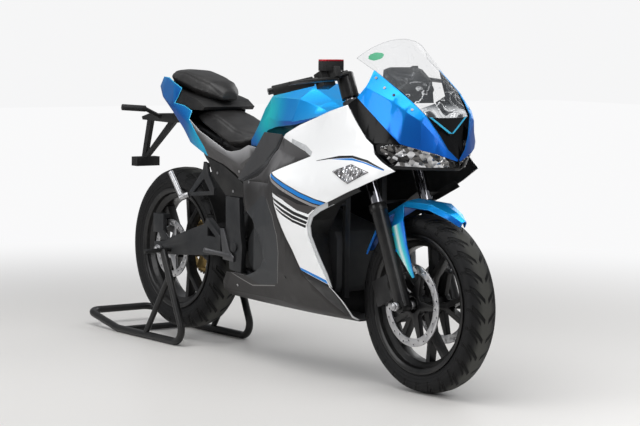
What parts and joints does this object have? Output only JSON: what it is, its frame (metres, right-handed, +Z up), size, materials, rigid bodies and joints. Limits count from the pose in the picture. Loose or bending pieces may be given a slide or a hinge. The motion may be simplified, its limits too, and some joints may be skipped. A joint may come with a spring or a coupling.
{
  "type": "sport bike",
  "caption": "Small faired electric sport motorcycle with two seats, twin front discs and chain drive, standing on a rear paddock stand.",
  "frame": {"origin": "middle of the whole length and width, on the floor", "axes": "+X forward, +Y to the rider's left, +Z up"},
  "size_m": [2.238, 0.7148, 1.16],
  "materials": {
    "blue_paint": "metallic blue, gloss",
    "white_paint": "gloss white",
    "lip_grey": "gloss light grey",
    "graphite_paint": "metallic graphite",
    "gloss_black": "gloss black",
    "black_plastic": "satin",
    "dark_plastic": "satin",
    "dark_metal": "satin black paint",
    "black_metal": "gloss black paint",
    "steel": "ground",
    "chain_steel": "oiled",
    "sprocket_gold": "anodised",
    "chrome": "polished",
    "tyre": "matt rubber",
    "grip_rubber": "matt",
    "seat_cover": "grained",
    "clear_lens": "clear",
    "clear_screen": "clear, tinted edge",
    "red_lens": "gloss",
    "stand_paint": "satin black paint"
  },
  "bodies": {
    "chassis": {"frame": "dark_metal", "subframe": "dark_metal", "battery_box": "dark_plastic", "motor": "dark_metal", "motor_sprocket": "steel", "swingarm": "dark_metal", "shock": "dark_metal", "rear_axle": "steel", "chain": "chain_steel", "rear_caliper": "dark_metal", "rear_hugger": "black_plastic", "tank_cover": "blue_paint", "rider_seat": "seat_cover", "pillion_seat": "seat_cover", "tail_fairings": "blue_paint", "tail_core": "black_plastic", "tail_lamp": "red_lens", "seat_side_panels": "graphite_paint", "diagonal_panels": "graphite_paint", "mid_panels": "graphite_paint", "fairing_bands": "gloss_black", "belly_pan": "graphite_paint", "white_fairings": "white_paint", "nose_panels": "blue_paint", "nose_bands": "gloss_black", "nose_centre": "gloss_black", "nose_trim": "gloss_black", "headlamps": "clear_lens", "side_lamps": "clear_lens", "mouth_lips": "lip_grey", "inner_ducts": "black_plastic", "chin": "black_plastic", "windscreen": "clear_screen", "dash": "black_plastic", "fairing_stay": "dark_metal", "frame_covers": "black_plastic", "pillion_pegs": "dark_metal", "rider_pegs": "dark_metal", "plate_holder": "black_plastic", "rear_indicators": "black_plastic", "paddock_stand": "stand_paint"},
    "side_stand": {"side_stand": "dark_metal"},
    "steering": {"yokes": "dark_metal", "fork_tubes": "chrome", "fork_sliders": "black_metal", "front_axle": "steel", "front_fender": "blue_paint", "front_calipers": "black_metal", "handlebars": "black_metal", "grips": "grip_rubber", "bar_controls": "black_plastic", "levers": "black_metal"},
    "front_wheel": {"front_tyre": "tyre", "front_rim": "black_metal", "front_discs": "steel", "front_disc_carriers": "black_metal"},
    "rear_wheel": {"rear_tyre": "tyre", "rear_rim": "black_metal", "rear_disc": "steel", "rear_sprocket": "sprocket_gold"}
  },
  "joints": [
    {"name": "steering", "type": "hinge", "parent": "chassis", "child": "steering", "pos_m": [0.79303, 0, 0.27976], "axis": [-0.4067, 0, 0.9135], "range_deg": [-25, 25]},
    {"name": "front_wheel_spin", "type": "hinge", "parent": "steering", "child": "front_wheel", "pos_m": [0.825, 0, 0.294], "axis": [0, 1, 0], "continuous": true},
    {"name": "rear_wheel_spin", "type": "hinge", "parent": "chassis", "child": "rear_wheel", "pos_m": [-0.615, 0, 0.348], "axis": [0, 1, 0], "continuous": true},
    {"name": "side_stand", "type": "hinge", "parent": "chassis", "child": "side_stand", "pos_m": [-0.141, 0.134, 0.327], "axis": [0, 1, 0], "range_deg": [-100, 0]}
  ]
}
